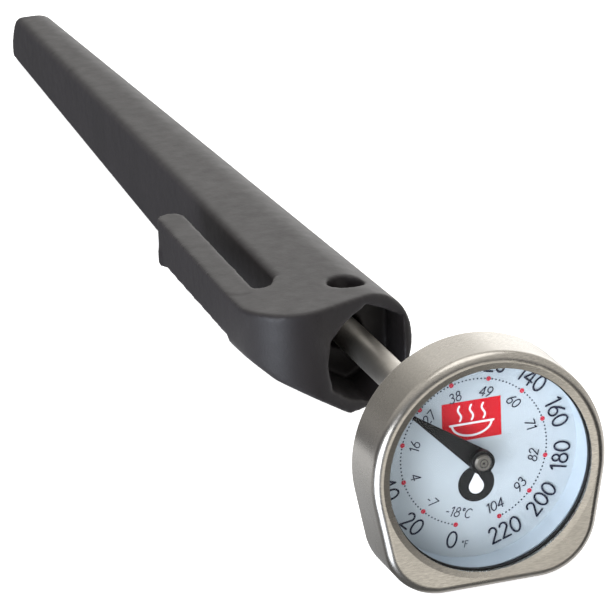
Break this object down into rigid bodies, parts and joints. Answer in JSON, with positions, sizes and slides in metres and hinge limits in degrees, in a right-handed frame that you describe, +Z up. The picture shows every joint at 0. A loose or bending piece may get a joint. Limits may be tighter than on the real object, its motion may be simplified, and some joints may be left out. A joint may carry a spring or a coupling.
{
  "type": "pocket dial thermometer",
  "caption": "Pocket bimetal dial thermometer with a D-shaped steel head, thin probe stem and slide-on plastic sheath with a pocket clip.",
  "frame": {"origin": "middle of the flat foot of the head, under the stem axis", "axes": "+Z up from the flat foot, dial faces -Y, the stem and sheath run along +Y, +X to the right of someone reading the dial"},
  "size_m": [0.0303, 0.1859, 0.0294],
  "materials": {
    "stem_steel": "fine ground stainless",
    "nut_steel": "machined stainless",
    "case_steel": "satin stainless, bright rolled edge",
    "gasket": "black",
    "window": "clear",
    "ring_white": "pale moulded ring",
    "dial_paint": "pale satin print",
    "support_plastic": "moulded",
    "washer_steel": "spring steel",
    "pointer_paint": "satin black",
    "cap_steel": "turned",
    "bearing_brass": "turned",
    "bimetal": "rolled strip",
    "sheath_plastic": "moulded, fine texture"
  },
  "bodies": {
    "stem": {"stem_tube": "stem_steel", "stem_flange": "stem_steel", "stem_tip": "stem_steel", "upper_bushing": "bearing_brass", "lower_bushing": "bearing_brass", "bimetal_coil": "bimetal", "coil_anchor": "stem_steel", "calibration_nut": "nut_steel"},
    "head": {"case_shell": "case_steel", "back_plate": "case_steel", "lens_gasket": "gasket", "lens": "window", "retaining_ring": "ring_white", "dial_plate": "dial_paint", "dial_support": "support_plastic", "friction_washer": "washer_steel"},
    "pointer": {"pointer_blade": "pointer_paint", "pointer_hub": "pointer_paint", "pointer_cap": "cap_steel", "pointer_shaft": "cap_steel", "coil_collar": "bearing_brass"},
    "sheath": {"sheath_body": "sheath_plastic"},
    "clip": {"pocket_clip": "sheath_plastic"}
  },
  "joints": [
    {"name": "calibration_turn", "type": "hinge", "parent": "stem", "child": "head", "pos_m": [0, 0, 0.01478], "axis": [0, 1, 0], "continuous": true},
    {"name": "pointer_sweep", "type": "hinge", "parent": "stem", "child": "pointer", "pos_m": [0, 0, 0.01478], "axis": [0, 1, 0], "range_deg": [-113.5, 211.5], "stiffness_Nm_per_rad": 0.0003},
    {"name": "sheath_slide", "type": "slide", "parent": "stem", "child": "sheath", "axis": [0, 1, 0], "range_m": [-0.029, 0.1]},
    {"name": "clip_flex", "type": "hinge", "parent": "sheath", "child": "clip", "pos_m": [-0.01365, 0.0469, 0.01948], "axis": [0, 0, 1], "range_deg": [-2.5, 10], "stiffness_Nm_per_rad": 0.3}
  ]
}
